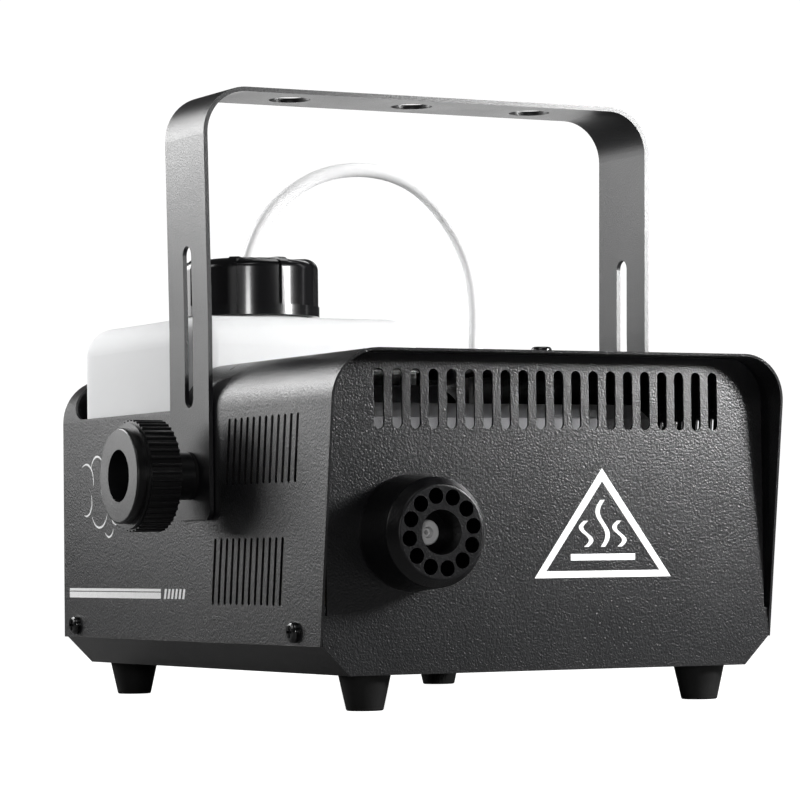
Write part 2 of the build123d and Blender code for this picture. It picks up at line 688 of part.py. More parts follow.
def switch_rocker():
    """Rocker with two faces at a shallow angle, at rest in its off position."""
    half = 7.2
    outline = polygon(
        (ROCKER_PIVOT_Y - 4.5, -3.0),
        (ROCKER_PIVOT_Y + 0.5, -half),
        (ROCKER_PIVOT_Y + 5.6, -half),
        (ROCKER_PIVOT_Y + 4.2, 0),
        (ROCKER_PIVOT_Y + 5.6, half),
        (ROCKER_PIVOT_Y + 0.5, half),
        (ROCKER_PIVOT_Y - 4.5, 3.0),
    )
    rocker = along_x(outline, (-4.8, 4.8)) + rod_x((-5.7, 5.7), ROCKER_PIVOT_Y, 0, 1.25)
    turned = Pos(0, ROCKER_PIVOT_Y, 0) * Rot(-8, 0, 0) * Pos(0, -ROCKER_PIVOT_Y, 0) * rocker
    return Pos(SWITCH_X, 0, SWITCH_Z) * turned


def indicator_light():
    """Pilot light: a flat ring and a rounded rod lens that goes through the panel."""
    bezel = rod_y(LAMP_X, (REAR_Y, REAR_Y + 1.2), LAMP_Z, 5.5)
    lens = rod_y(LAMP_X, (118.0, REAR_Y + 4.3), LAMP_Z, 3.9)
    tip = lens.edges().filter_by(GeomType.CIRCLE).sort_by(Axis.Y)[-1:]
    return bezel + fillet(tip, 2.6)


def remote_socket():
    """Round locking socket for the wired remote."""
    flange = block((REMOTE_X - 13, REMOTE_X + 13), (REAR_Y, REAR_Y + 2.0), (REMOTE_Z - 13, REMOTE_Z + 13))
    flange = fillet(flange.edges().filter_by(Axis.Y), 3.0)
    body = rod_y(REMOTE_X, (116.0, REAR_Y + 4.3), REMOTE_Z, 7.9)
    cavity = rod_y(REMOTE_X, (122.0, REAR_Y + 5), REMOTE_Z, 6.4)
    return flange + body - cavity


def remote_pins():
    solids = []
    for index in range(3):
        angle = math.radians(90 + 120 * index)
        x = REMOTE_X + 3.4 * math.cos(angle)
        z = REMOTE_Z + 3.4 * math.sin(angle)
        solids.append(rod_y(x, (122.0, REAR_Y), z, 0.8))
    return Compound(solids)


# ---- yoke and clamping knobs ----------------------------------------------------------


def bracket():
    """Flat steel strip bent into a yoke, with long leg slots and three holes in its bar."""
    outer = YOKE_INNER + YOKE_SHEET
    straight_top = 150.0

    def strip(half, top, bend):
        outline = polygon(
            (-half, YOKE_BOTTOM),
            (-half, straight_top),
            (-half - YOKE_SPLAY, top),
            (half + YOKE_SPLAY, top),
            (half, straight_top),
            (half, YOKE_BOTTOM),
        )
        return fillet(outline.vertices().sort_by(Axis.Y)[-2:], bend)

    section = strip(outer, YOKE_TOP, YOKE_BEND)
    section -= strip(YOKE_INNER, YOKE_TOP - YOKE_SHEET, YOKE_BEND - YOKE_SHEET)
    y = (PIVOT_Y - YOKE_WIDTH / 2, PIVOT_Y + YOKE_WIDTH / 2)
    yoke = along_y(section, y)
    ends = yoke.edges().filter_by(Axis.X).sort_by(Axis.Z)[:4]
    yoke = fillet(ends, 4.0)
    cuts = [
        along_x(Pos(PIVOT_Y, 149.75) * round_slot(64.5, 8.0), (-120, 120)),
        rod_x((-120, 120), PIVOT_Y, PIVOT_Z, STUD_RADIUS + STUD_CLEARANCE),
    ]
    for x in (-BAR_HOLE_SPACING, 0, BAR_HOLE_SPACING):
        cuts.append(rod_z(x, PIVOT_Y, (YOKE_TOP - 5, YOKE_TOP + 5), BAR_HOLE_RADIUS))
    return yoke - cuts


def washer(side):
    x = sorted((side * WASHER[0], side * WASHER[1]))
    ring = rod_x(x, PIVOT_Y, PIVOT_Z, 9.5)
    return ring - rod_x((x[0] - 1, x[1] + 1), PIVOT_Y, PIVOT_Z, STUD_RADIUS + STUD_CLEARANCE)


def ribbed_disc(radius, ribs, rib_radius):
    disc = Circle(radius)
    for index in range(ribs):
        angle = math.radians(360 / ribs * index)
        disc += Pos(radius * math.cos(angle), radius * math.sin(angle)) * Circle(rib_radius)
    return disc


def knob(side):
    """Ribbed clamping knob with a long neck and a deep round recess in its face."""
    neck = Pos(0, 0, WASHER[1] + 0.1) * extrude(Circle(9.55), KNOB_GRIP[0] - WASHER[1])
    grip = Pos(0, 0, KNOB_GRIP[0]) * extrude(ribbed_disc(21.5, 45, 0.7), KNOB_GRIP[1] - KNOB_GRIP[0])
    shoulder = Pos(0, 0, KNOB_GRIP[1]) * extrude(Circle(20.9), 1.2)
    face = Pos(0, 0, KNOB_GRIP[1] + 1.2) * extrude(Circle(18.9), KNOB_FACE - KNOB_GRIP[1] - 1.2)
    body = neck + grip + shoulder + face
    rim = body.edges().filter_by(GeomType.CIRCLE).sort_by(Axis.Z)[-1:]
    body = fillet(rim, 0.8)
    body -= rod_z(0, 0, (118.0, KNOB_FACE + 1), 10.35)
    body -= rod_z(0, 0, (100.0, 119.0), STUD_RADIUS)
    return Pos(0, PIVOT_Y, PIVOT_Z) * Rot(0, 90 * side, 0) * body


def stud(side):
    x = sorted((side * 88.0, side * 118.0))
    return rod_x(x, PIVOT_Y, PIVOT_Z, STUD_RADIUS)


# ---- fluid tank -----------------------------------------------------------------------


def tank():
    """Blow-moulded tank: rounded box with a short neck."""

    def rounded(inset, corner, top_edge):
        x = (TANK_X[0] + inset, TANK_X[1] - inset)
        y = (TANK_Y[0] + inset, TANK_Y[1] - inset)
        z = (TANK_Z[0] + inset, TANK_Z[1] - inset)
        body = fillet(block(x, y, z).edges().filter_by(Axis.Z), corner)
        body = fillet(body.edges().group_by(Axis.Z)[-1], top_edge)
        return fillet(body.edges().group_by(Axis.Z)[0], 5.0)

    neck = rod_z(CAP_X, CAP_Y, (TANK_Z[1] - 1, NECK_TOP), 24.6)
    mouth = rod_z(CAP_X, CAP_Y, (TANK_Z[1] - 10, NECK_TOP + 1), 21.5)
    crown_height = 2.1
    crown = Pos(CAP_X, CAP_Y, TANK_Z[1] - 0.1 + crown_height / 2) * Cone(36.0, 27.5, crown_height)
    return rounded(0, 12.5, 12.0) + crown + neck - rounded(TANK_WALL, 10.7, 10.2) - mouth


def cap_bush():
    """Sleeve that holds the hose in the middle of the cap and lets the cap turn round it."""
    sleeve = rod_z(CAP_X, CAP_Y, (176.0, CAP_TOP), 4.6) + rod_z(CAP_X, CAP_Y, (174.0, 176.0), 9.0)
    mouth = Pos(CAP_X, CAP_Y, CAP_TOP - 0.75) * Cone(HOSE_RADIUS, 4.2, 1.5)
    return sleeve - rod_z(CAP_X, CAP_Y, (170, CAP_TOP + 1), HOSE_RADIUS) - mouth


def cap_seal():
    disc = rod_z(CAP_X, CAP_Y, (NECK_TOP + 0.3, 174.0), 24.6)
    return disc - rod_z(CAP_X, CAP_Y, (170, 176), HOSE_RADIUS)


def suction_tube():
    """The hose's lower end, hanging inside the tank."""
    tube = rod_z(CAP_X, CAP_Y, (44.0, CAP_TOP - 1), HOSE_RADIUS)
    return tube - rod_z(CAP_X, CAP_Y, (43.0, CAP_TOP + 1), 2.0)


def suction_filter():
    body = rod_z(CAP_X, CAP_Y, (35.0, 50.0), 6.0)
    body = fillet(body.edges().sort_by(Axis.Z)[:1], 1.5)
    return body - rod_z(CAP_X, CAP_Y, (44.0, 51.0), HOSE_RADIUS)


def tank_cap():
    """Screw cap with a flange at its foot and eight rounded grip ribs."""
    height = (CAP_BOTTOM + CAP_TOP) / 2
    ribs = Pos(0, 0, height) * Cylinder(CAP_RADIUS - 0.3, CAP_TOP - CAP_BOTTOM)
    ribs = fillet(ribs.edges().sort_by(Axis.Z)[-1:], 5.0)
    star = Rectangle(80, 3.7)
    for index in range(1, 4):
        star += Rectangle(80, 3.7, rotation=45 * index)
    ribs &= along_z(star - Circle(18), (CAP_BOTTOM, CAP_TOP))
    side_top = CAP_TOP - 0.9
    side = rod_z(0, 0, (CAP_BOTTOM, side_top), CAP_RADIUS - 1.5)
    side = fillet(side.edges().filter_by(GeomType.CIRCLE).sort_by(Axis.Z)[-1:], 3.5)
    middle = rod_z(0, 0, (side_top - 3, CAP_TOP), 19.0)
    flange = rod_z(0, 0, (CAP_BOTTOM, CAP_BOTTOM + 4.3), CAP_RADIUS)
    cap = ribs + side + middle + flange
    cap -= rod_z(0, 0, (CAP_BOTTOM - 1, 179.0), 25.2)
    cap -= rod_z(0, 0, (170.0, CAP_TOP + 1), 4.7)
    first_rib = 51.0
    return Pos(CAP_X, CAP_Y, 0) * Rot(0, 0, first_rib) * cap


# ---- export ---------------------------------------------------------------------------

PARTS = {
    "cover": cover,
    "chassis": chassis,
    "front_panel": front_panel,
    "rear_panel": rear_panel,
    "tank_tray": tank_tray,
    "feet": feet,
    "foot_screws": foot_screws,
    "foot_nuts": foot_nuts,
    "cover_screws": cover_screws,
    "top_screw": top_screw,
    "pivot_nuts": pivot_nuts,
    "nozzle_shroud": nozzle_shroud,
    "nozzle_tip": nozzle_tip,
    "nozzle_pipe": nozzle_pipe,
    "heater_block": heater_block,
    "heating_element": heating_element,
    "heater_insulation": heater_insulation,
    "heater_feet": heater_feet,
    "heater_shield": heater_shield,
    "thermostat": thermostat,
    "thermal_fuse": thermal_fuse,
    "pump_body": pump_body,
    "pump_coil": pump_coil,
    "pump_bracket": pump_bracket,
    "pump_plunger": pump_plunger,
    "pump_spring": pump_spring,
    "pump_hose": pump_hose,
    "feed_pipe": feed_pipe,
    "hose": hose,
    "hose_grommet": hose_grommet,
    "control_board": control_board,
    "board_standoffs": board_standoffs,
    "board_relay": board_relay,
    "board_capacitor": board_capacitor,
    "terminal_block": terminal_block,
    "power_inlet": power_inlet,
    "inlet_pins": inlet_pins,
    "fuse_drawer": fuse_drawer,
    "fuse": fuse,
    "switch_housing": switch_housing,
    "switch_rocker": switch_rocker,
    "indicator_light": indicator_light,
    "remote_socket": remote_socket,
    "remote_pins": remote_pins,
    "bracket": bracket,
    "left_washer": lambda: washer(-1),
    "right_washer": lambda: washer(1),
    "left_knob": lambda: knob(-1),
    "right_knob": lambda: knob(1),
    "left_stud": lambda: stud(-1),
    "right_stud": lambda: stud(1),
    "tank": tank,
    "cap_bush": cap_bush,
    "cap_seal": cap_seal,
    "suction_tube": suction_tube,
    "suction_filter": suction_filter,
    "tank_cap": tank_cap,
}

os.makedirs("parts", exist_ok=True)
for name, make in PARTS.items():
    export_step(make(), f"parts/{name}.step")
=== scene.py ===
"""Looks of the table-top fog machine: camera, studio light, hose, printed marks and materials.

Metres, in the CAD model's own frame: +Z up, nozzle towards -Y, tank towards -X.
"""

import math

import bmesh
import bpy
from mathutils import Matrix, Vector


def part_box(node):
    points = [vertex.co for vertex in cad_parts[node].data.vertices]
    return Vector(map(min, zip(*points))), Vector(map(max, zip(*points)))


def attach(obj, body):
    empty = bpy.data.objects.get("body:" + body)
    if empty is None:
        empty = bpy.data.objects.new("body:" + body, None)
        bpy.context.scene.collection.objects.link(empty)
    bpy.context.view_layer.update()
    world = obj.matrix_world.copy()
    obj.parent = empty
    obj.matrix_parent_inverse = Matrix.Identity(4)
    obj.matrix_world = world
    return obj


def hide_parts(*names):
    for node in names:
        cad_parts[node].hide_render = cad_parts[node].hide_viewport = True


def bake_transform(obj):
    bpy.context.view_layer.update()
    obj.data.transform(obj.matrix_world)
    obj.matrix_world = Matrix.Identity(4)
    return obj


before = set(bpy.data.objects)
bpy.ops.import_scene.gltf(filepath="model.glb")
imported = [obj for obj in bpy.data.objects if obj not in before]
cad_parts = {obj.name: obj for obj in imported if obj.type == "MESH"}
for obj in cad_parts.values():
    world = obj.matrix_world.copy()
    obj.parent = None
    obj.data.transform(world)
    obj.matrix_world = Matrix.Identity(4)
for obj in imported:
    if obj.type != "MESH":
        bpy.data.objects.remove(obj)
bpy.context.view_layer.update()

SCENE = bpy.context.scene
MM = 0.001

# ---- camera ---------------------------------------------------------------------------

CAMERA_PLACE = Vector((-0.68438, -1.28071, 0.05961))
CAMERA_RIGHT = Vector((0.88370, -0.46790, -0.01154))
CAMERA_UP = Vector((-0.00985, -0.04325, 0.99902))
CAMERA_LENS = 158.82  # millimetres, as is the sensor's width
SENSOR_WIDTH = 36.0


def add_camera():
    data = bpy.data.cameras.new("camera")
    data.lens = CAMERA_LENS
    data.sensor_width = SENSOR_WIDTH
    data.clip_start = 0.05
    data.clip_end = 20.0
    camera = bpy.data.objects.new("camera", data)
    SCENE.collection.objects.link(camera)
    right = CAMERA_RIGHT.normalized()
    up = (CAMERA_UP - CAMERA_UP.project(right)).normalized()
    axes = Matrix((right, up, right.cross(up))).transposed()
    camera.matrix_world = Matrix.Translation(CAMERA_PLACE) @ axes.to_4x4()
    SCENE.camera = camera


add_camera()

# ---- mesh helpers ---------------------------------------------------------------------


def add_object(name, mesh):
    piece = bpy.data.objects.new(name, mesh)
    SCENE.collection.objects.link(piece)
    return piece


def mesh_from(name, verts, faces, smooth=False):
    mesh = bpy.data.meshes.new(name)
    mesh.from_pydata([tuple(v) for v in verts], [], faces)
    work = bmesh.new()
    work.from_mesh(mesh)
    bmesh.ops.recalc_face_normals(work, faces=work.faces)
    work.to_mesh(mesh)
    work.free()
    mesh.polygons.foreach_set("use_smooth", [smooth] * len(mesh.polygons))
    return mesh


# ---- hose -----------------------------------------------------------------------------

HOSE_DIAMETER = 0.006
HOSE_SIDES = 28
STEPS_PER_SPAN = 10
HOSE_ROUTE = [
    (-0.0432, 0.0642, 0.1830),
    (-0.0405, 0.0631, 0.1943),
    (-0.0312, 0.0592, 0.2085),
    (-0.0155, 0.0527, 0.2198),
    (0.0030, 0.0451, 0.2225),
    (0.0210, 0.0376, 0.2168),
    (0.0349, 0.0319, 0.2015),
    (0.0441, 0.0281, 0.1820),
    (0.0464, 0.0271, 0.1630),
    (0.0457, 0.0274, 0.1470),
    (0.0457, 0.0274, 0.1332),
]


def route_points(route):
    """Points along a smooth NURBS line whose control points are the route's."""
    data = bpy.data.curves.new("route", "CURVE")
    data.dimensions = "3D"
    data.resolution_u = STEPS_PER_SPAN
    spline = data.splines.new("NURBS")
    spline.points.add(len(route) - 1)
    for point, place in zip(spline.points, route):
        point.co = (*place, 1.0)
    spline.order_u = 3
    spline.use_endpoint_u = True
    line = bpy.data.objects.new("route", data)
    SCENE.collection.objects.link(line)
    bpy.context.view_layer.update()
    evaluated = line.evaluated_get(bpy.context.evaluated_depsgraph_get())
    mesh = bpy.data.meshes.new_from_object(evaluated)
    points = [v.co.copy() for v in mesh.vertices]
    bpy.data.objects.remove(line)
    bpy.data.meshes.remove(mesh)
    return points


def tube_mesh(name, points, radius, sides):
    """A round tube along points, with its rings turned as little as possible."""
    verts = []
    normal = Vector((0, 1, 0))
    for index, point in enumerate(points):
        ahead = points[min(index + 1, len(points) - 1)]
        behind = points[max(index - 1, 0)]
        along = (ahead - behind).normalized()
        normal = (normal - normal.project(along)).normalized()
        side = along.cross(normal)
        for turn in range(sides):
            angle = 2 * math.pi * turn / sides
            verts.append(point + radius * (math.cos(angle) * normal + math.sin(angle) * side))
    faces = [list(range(sides)), list(range(len(verts) - sides, len(verts)))]
    for ring in range(len(points) - 1):
        for turn in range(sides):
            following = (turn + 1) % sides
            low = ring * sides
            faces.append([low + turn, low + following, low + sides + following, low + sides + turn])
    return mesh_from(name, verts, faces, smooth=True)


def add_hose():
    points = route_points(HOSE_ROUTE)
    piece = add_object("fluid_hose", tube_mesh("fluid_hose", points, HOSE_DIAMETER / 2, HOSE_SIDES))
    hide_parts("hose")
    [tuple(p) for p in points]
    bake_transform(piece)
    return piece


hose = add_hose()

# ---- printed marks --------------------------------------------------------------------

INK = 0.05 * MM  # how far the print stands off the paint

# The hot-surface sign on the front, in millimetres along X and Z.
SIGN_MIDDLE = 22.8
SIGN_OUTSIDE = {"apex_z": 90.8, "base_z": 48.7, "width": 61.3}
SIGN_INSIDE = {"apex_z": 85.8, "base_z": 51.3, "width": 51.0}
WAVE_FOOT = 60.5
WAVE_PITCH = 7.5
WAVE_WIDTH = 2.0
WAVE_SWAY = 2.2
WAVE_STEPS = 24
TALL_WAVE_TOP = 78.5
SHORT_WAVE_TOP = 70.5
SIGN_BAR_REACH = 14.5
SIGN_BAR_HEIGHTS = (55.3, 57.8)

# The stripes, ticks and curls on each side, in millimetres along Y and Z.
STRIPE_ENDS = (31.3, 127.0)
THIN_STRIPE_HEIGHTS = (44.4, 45.5)
THICK_STRIPE_HEIGHTS = (41.5, 44.0)
TICK_COUNT = 6
TICK_START = 26.4
TICK_PITCH = 3.6
TICK_WIDTH = 2.0
TICK_HEIGHTS = (41.5, 45.5)
TICK_LEAN = -0.3
CURL_WIDTH = 0.9
CURL_STEPS = 14
CURL_TIP = 0.35  # a curl's width at its ends, as a share of its width in the middle
CURLS = [
    # centre, radius, first and last angle in degrees
    ((108.0, 90.0), 8.0, 60, 190),
    ((96.0, 94.0), 7.0, 20, 150),
    ((84.0, 88.0), 8.0, -40, 100),
    ((94.0, 80.0), 9.0, 200, 330),
    ((108.0, 82.0), 6.0, 150, 290),
    ((76.0, 78.0), 6.0, -90, 60),
    ((84.0, 72.0), 5.0, 200, 320),
]


def on_front(x, z):
    """A place on the front panel's face, from millimetres."""
    return Vector((x * MM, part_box("front_panel")[0].y - INK, z * MM))


def on_side(side):
    """Places on the cover's left (-1) or right (+1) face, from millimetres along Y and Z."""
    face_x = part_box("cover")[1].x

    def place(y, z):
        return Vector((side * (face_x + INK), y * MM, z * MM))

    return place


def inked(name, loops, place):
    """Thin print: each loop is a closed outline, or a pair of outlines that make a band."""
    verts = []
    faces = []
    for loop in loops:
        start = len(verts)
        if isinstance(loop, tuple):
            outer, inner = loop
            count = len(outer)
            verts += [place(*point) for point in outer + inner]
            for index in range(count):
                following = (index + 1) % count
                corners = [index, following, count + following, count + index]
                faces.append([start + corner for corner in corners])
        else:
            verts += [place(*point) for point in loop]
            faces.append(list(range(start, len(verts))))
    return mesh_from(name, verts, faces)


def triangle(apex_z, base_z, width):
    """The sign's outline, about its middle."""
    return [
        (SIGN_MIDDLE - width / 2, base_z),
        (SIGN_MIDDLE + width / 2, base_z),
        (SIGN_MIDDLE, apex_z),
    ]


def bar(ends, heights, lean=0.0):
    """A four-sided stroke whose top is shifted by lean times its height."""
    shift = lean * (heights[1] - heights[0])
    return [
        (ends[0], heights[0]),
        (ends[1], heights[0]),
        (ends[1] + shift, heights[1]),
        (ends[0] + shift, heights[1]),
    ]


def curl(centre, radius, first, last):
    """A drawn arc that thins towards both ends, with angles in degrees."""
    outer = []
    inner = []
    for step in range(CURL_STEPS + 1):
        share = step / CURL_STEPS
        angle = math.radians(first + (last - first) * share)
        half = CURL_WIDTH / 2 * (CURL_TIP + (1 - CURL_TIP) * math.sin(math.pi * share))
        for line, reach in ((outer, radius + half), (inner, radius - half)):
            line.append((centre[0] + reach * math.cos(angle), centre[1] + reach * math.sin(angle)))
    return outer + inner[::-1]


def wave(middle, top):
    """A wavy upright stroke with blunt ends, from WAVE_FOOT up."""
    left = []
    right = []
    for step in range(WAVE_STEPS + 1):
        share = step / WAVE_STEPS
        centre = middle + WAVE_SWAY * math.sin(2 * math.pi * share)
        height = WAVE_FOOT + (top - WAVE_FOOT) * share
        left.append((centre - WAVE_WIDTH / 2, height))
        right.append((centre + WAVE_WIDTH / 2, height))
    return left + right[::-1]


def front_mark():
    """A generic hot-surface sign: a triangle with three rising waves over a bar."""
    bar_ends = (SIGN_MIDDLE - SIGN_BAR_REACH, SIGN_MIDDLE + SIGN_BAR_REACH)
    loops = [
        (triangle(**SIGN_OUTSIDE), triangle(**SIGN_INSIDE)),
        wave(SIGN_MIDDLE, TALL_WAVE_TOP),
        wave(SIGN_MIDDLE - WAVE_PITCH, SHORT_WAVE_TOP),
        wave(SIGN_MIDDLE + WAVE_PITCH, SHORT_WAVE_TOP),
        bar(bar_ends, SIGN_BAR_HEIGHTS),
    ]
    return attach(add_object("front_mark", inked("front_mark", loops, on_front)), "root")


def side_mark(side, name):
    """Two stripes, a run of slanted ticks and a few curls like drifting puffs."""
    loops = [bar(STRIPE_ENDS, THIN_STRIPE_HEIGHTS), bar(STRIPE_ENDS, THICK_STRIPE_HEIGHTS)]
    for index in range(TICK_COUNT):
        start = TICK_START - index * TICK_PITCH
        loops.append(bar((start, start + TICK_WIDTH), TICK_HEIGHTS, TICK_LEAN))
    loops += [curl(*shape) for shape in CURLS]
    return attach(add_object(name, inked(name, loops, on_side(side))), "root")


front_print = front_mark()
left_print = side_mark(-1, "left_mark")
right_print = side_mark(1, "right_mark")

# ---- material helpers -----------------------------------------------------------------

MOTTLE_RAMP = (0.3, 0.7)  # where on the noise the darker and the lighter colour are reached
GLOSS_DETAIL = 3.0
LEAST_ROUGHNESS = 0.02


class Finish:
    """A material on one Principled shader, built up with small procedural layers.

    Scales are per metre. A stretch over 1 packs the noise closer along that axis, which draws
    lines across it.
    """

    def __init__(self, name, colour, roughness, metallic=0.0):
        self.material = bpy.data.materials.new(name)
        self.material.use_nodes = True
        self.nodes = self.material.node_tree.nodes
        self.links = self.material.node_tree.links
        self.shader = self.nodes["Principled BSDF"]
        self.colour = colour
        self.roughness = roughness
        self.set("Base Color", (*colour, 1.0))
        self.set("Roughness", roughness)
        self.set("Metallic", metallic)
        self.place = self.nodes.new("ShaderNodeTexCoord").outputs["Object"]

    def set(self, socket, value):
        self.shader.inputs[socket].default_value = value

    def noise(self, scale, detail, stretch):
        mapping = self.nodes.new("ShaderNodeMapping")
        mapping.inputs["Scale"].default_value = stretch
        texture = self.nodes.new("ShaderNodeTexNoise")
        texture.inputs["Scale"].default_value = scale
        texture.inputs["Detail"].default_value = detail
        self.links.new(self.place, mapping.inputs["Vector"])
        self.links.new(mapping.outputs["Vector"], texture.inputs["Vector"])
        return texture.outputs["Fac"]

    def mottle(self, scale, spread, stretch=(1, 1, 1), detail=2.0):
        """Vary the colour between darker and lighter by spread, a share of its value."""
        ramp = self.nodes.new("ShaderNodeValToRGB")
        darker = [c * (1 - spread) for c in self.colour]
        lighter = [min(1, c * (1 + spread)) for c in self.colour]
        for stop, position, colour in zip(ramp.color_ramp.elements, MOTTLE_RAMP, (darker, lighter)):
            stop.position = position
            stop.color = (*colour, 1)
        self.links.new(self.noise(scale, detail, stretch), ramp.inputs["Fac"])
        self.links.new(ramp.outputs["Color"], self.shader.inputs["Base Color"])

    def uneven_gloss(self, scale, spread, stretch=(1, 1, 1)):
        """Vary the roughness up and down by spread."""
        reach = self.nodes.new("ShaderNodeMapRange")
        reach.inputs["To Min"].default_value = max(LEAST_ROUGHNESS, self.roughness - spread)
        reach.inputs["To Max"].default_value = min(1.0, self.roughness + spread)
        self.links.new(self.noise(scale, GLOSS_DETAIL, stretch), reach.inputs["Value"])
        self.links.new(reach.outputs["Result"], self.shader.inputs["Roughness"])

    def grain(self, scale, height, strength, stretch=(1, 1, 1), detail=2.0):
        """Surface relief of that height."""
        bump = self.nodes.new("ShaderNodeBump")
        bump.inputs["Strength"].default_value = strength
        bump.inputs["Distance"].default_value = height
        self.links.new(self.noise(scale, detail, stretch), bump.inputs["Height"])
        self.links.new(bump.outputs["Normal"], self.shader.inputs["Normal"])


def paint(finish, *objects):
    for piece in objects:
        piece.data.materials.clear()
        piece.data.materials.append(finish.material)


def cad(*names):
    return [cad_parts[name] for name in names]


# ---- materials ------------------------------------------------------------------------


def powder_coat():
    """Fine textured black powder coat."""
    finish = Finish("powder_coat", colour=(0.004, 0.004, 0.0048), roughness=0.29)
    finish.mottle(scale=1500, spread=0.35, detail=3.0)
    finish.uneven_gloss(scale=40, spread=0.04)
    finish.grain(scale=1300, height=0.3 * MM, strength=0.6, detail=3.0)
    return finish


def yoke_coat():
    """The yoke's powder coat, a little duller and smoother than the case's."""
    finish = Finish("yoke_coat", colour=(0.006, 0.006, 0.007), roughness=0.38)
    finish.mottle(scale=1500, spread=0.3, detail=3.0)
    finish.uneven_gloss(scale=30, spread=0.04)
    finish.grain(scale=1500, height=0.15 * MM, strength=0.5, detail=3.0)
    return finish


def print_ink():
    """Screen-printed white that lets a little of the coat's grain through."""
    finish = Finish("print_ink", colour=(0.86, 0.86, 0.86), roughness=0.5)
    finish.mottle(scale=1300, spread=0.06)
    finish.grain(scale=1300, height=0.12 * MM, strength=0.4)
    return finish


def tank_shell():
    """Natural polyethylene, nearly white, with light that spreads under its surface."""
    finish = Finish("tank_shell", colour=(0.87, 0.88, 0.89), roughness=0.6)
    finish.set("Specular IOR Level", 0.08)
    finish.set("Subsurface Weight", 0.6)
    finish.set("Subsurface Radius", (1.0, 1.0, 1.0))
    finish.set("Subsurface Scale", 12 * MM)
    finish.mottle(scale=14, spread=0.02)
    finish.uneven_gloss(scale=60, spread=0.06)
    finish.grain(scale=260, height=0.12 * MM, strength=0.25)
    return finish


def hose_silicone():
    """Milky silicone, barely see-through."""
    finish = Finish("hose_silicone", colour=(0.96, 0.96, 0.97), roughness=0.36)
    finish.set("Transmission Weight", 0.08)
    finish.set("Subsurface Weight", 0.5)
    finish.set("Subsurface Radius", (1.0, 1.0, 1.0))
    finish.set("Subsurface Scale", 4 * MM)
    finish.set("IOR", 1.41)
    finish.mottle(scale=90, spread=0.04)
    finish.uneven_gloss(scale=120, spread=0.08)
    return finish


def gloss_black(name, roughness):
    """Shiny black, for the cap and the screw heads."""
    finish = Finish(name, colour=(0.003, 0.003, 0.0035), roughness=roughness)
    finish.set("Coat Weight", 0.3)
    finish.set("Coat Roughness", 0.08)
    finish.mottle(scale=60, spread=0.2)
    finish.uneven_gloss(scale=50, spread=0.04)
    finish.grain(scale=220, height=0.05 * MM, strength=0.3)
    return finish


def moulded_black(name, roughness):
    """Satin black plastic with a fine mould texture."""
    finish = Finish(name, colour=(0.005, 0.005, 0.0055), roughness=roughness)
    finish.mottle(scale=80, spread=0.2)
    finish.uneven_gloss(scale=60, spread=0.06)
    finish.grain(scale=900, height=0.08 * MM, strength=0.5)
    return finish


def shroud_shaded_coat():
    """The nozzle shroud's coat, with a grain like the case's; its colour is darker than the case's
    coat as painted shade.
    """
    # painted shade: the same coat as the case, with its base colour set darker than the case's
    finish = Finish("shroud_shaded_coat", colour=(0.0015, 0.0015, 0.002), roughness=0.3)
    finish.set("Specular IOR Level", 0.3)
    finish.mottle(scale=80, spread=0.2)
    finish.uneven_gloss(scale=60, spread=0.06)
    finish.grain(scale=1500, height=0.2 * MM, strength=0.6, detail=3.0)
    return finish


def rubber():
    finish = Finish("rubber", colour=(0.004, 0.004, 0.004), roughness=0.7)
    finish.set("Specular IOR Level", 0.25)
    finish.mottle(scale=120, spread=0.3)
    finish.uneven_gloss(scale=40, spread=0.08)
    finish.grain(scale=700, height=0.1 * MM, strength=0.5)
    return finish


def sheet_zinc():
    """Zinc plate with faint rolling lines."""
    finish = Finish("sheet_zinc", colour=(0.42, 0.43, 0.45), roughness=0.42, metallic=0.9)
    finish.mottle(scale=30, spread=0.15)
    finish.uneven_gloss(scale=60, spread=0.1, stretch=(1, 12, 1))
    finish.grain(scale=500, height=0.06 * MM, strength=0.4, stretch=(1, 10, 1))
    return finish


def shield_grey():
    """Dull aluminised sheet, which shows as a soft grey through the front's slots."""
    finish = Finish("shield_grey", colour=(0.30, 0.30, 0.31), roughness=0.55, metallic=0.3)
    finish.mottle(scale=30, spread=0.1)
    finish.uneven_gloss(scale=60, spread=0.08)
    finish.grain(scale=500, height=0.06 * MM, strength=0.3)
    return finish


def tip_silver():
    """Bead-blasted plating, pale even where no lamp is mirrored in it."""
    finish = Finish("tip_silver", colour=(0.93, 0.93, 0.93), roughness=0.35, metallic=0.1)
    finish.mottle(scale=90, spread=0.05)
    finish.uneven_gloss(scale=90, spread=0.06)
    finish.grain(scale=700, height=0.04 * MM, strength=0.3)
    return finish


def metal(name, colour, roughness, spread=0.12):
    """Bare metal, with a colour that varies by spread."""
    finish = Finish(name, colour, roughness, metallic=1.0)
    finish.mottle(scale=50, spread=spread)
    finish.uneven_gloss(scale=90, spread=0.08)
    finish.grain(scale=400, height=0.05 * MM, strength=0.35, stretch=(1, 8, 1))
    return finish


def plastic(name, colour, roughness):
    """Moulded plastic or fired ceramic in one colour."""
    finish = Finish(name, colour, roughness)
    finish.mottle(scale=60, spread=0.08)
    finish.uneven_gloss(scale=70, spread=0.06)
    finish.grain(scale=500, height=0.04 * MM, strength=0.4)
    return finish


def wool():
    """Matted mineral wool with its fibres along X and Z."""
    finish = Finish("wool", colour=(0.72, 0.67, 0.55), roughness=0.95)
    finish.mottle(scale=160, spread=0.25, stretch=(1, 4, 1))
    finish.grain(scale=420, height=0.6 * MM, strength=0.9, stretch=(1, 4, 1), detail=5.0)
    return finish


def circuit_board():
    finish = Finish("circuit_board", colour=(0.02, 0.16, 0.07), roughness=0.3)
    finish.mottle(scale=240, spread=0.35, detail=0.0)
    finish.grain(scale=240, height=0.04 * MM, strength=0.5)
    return finish


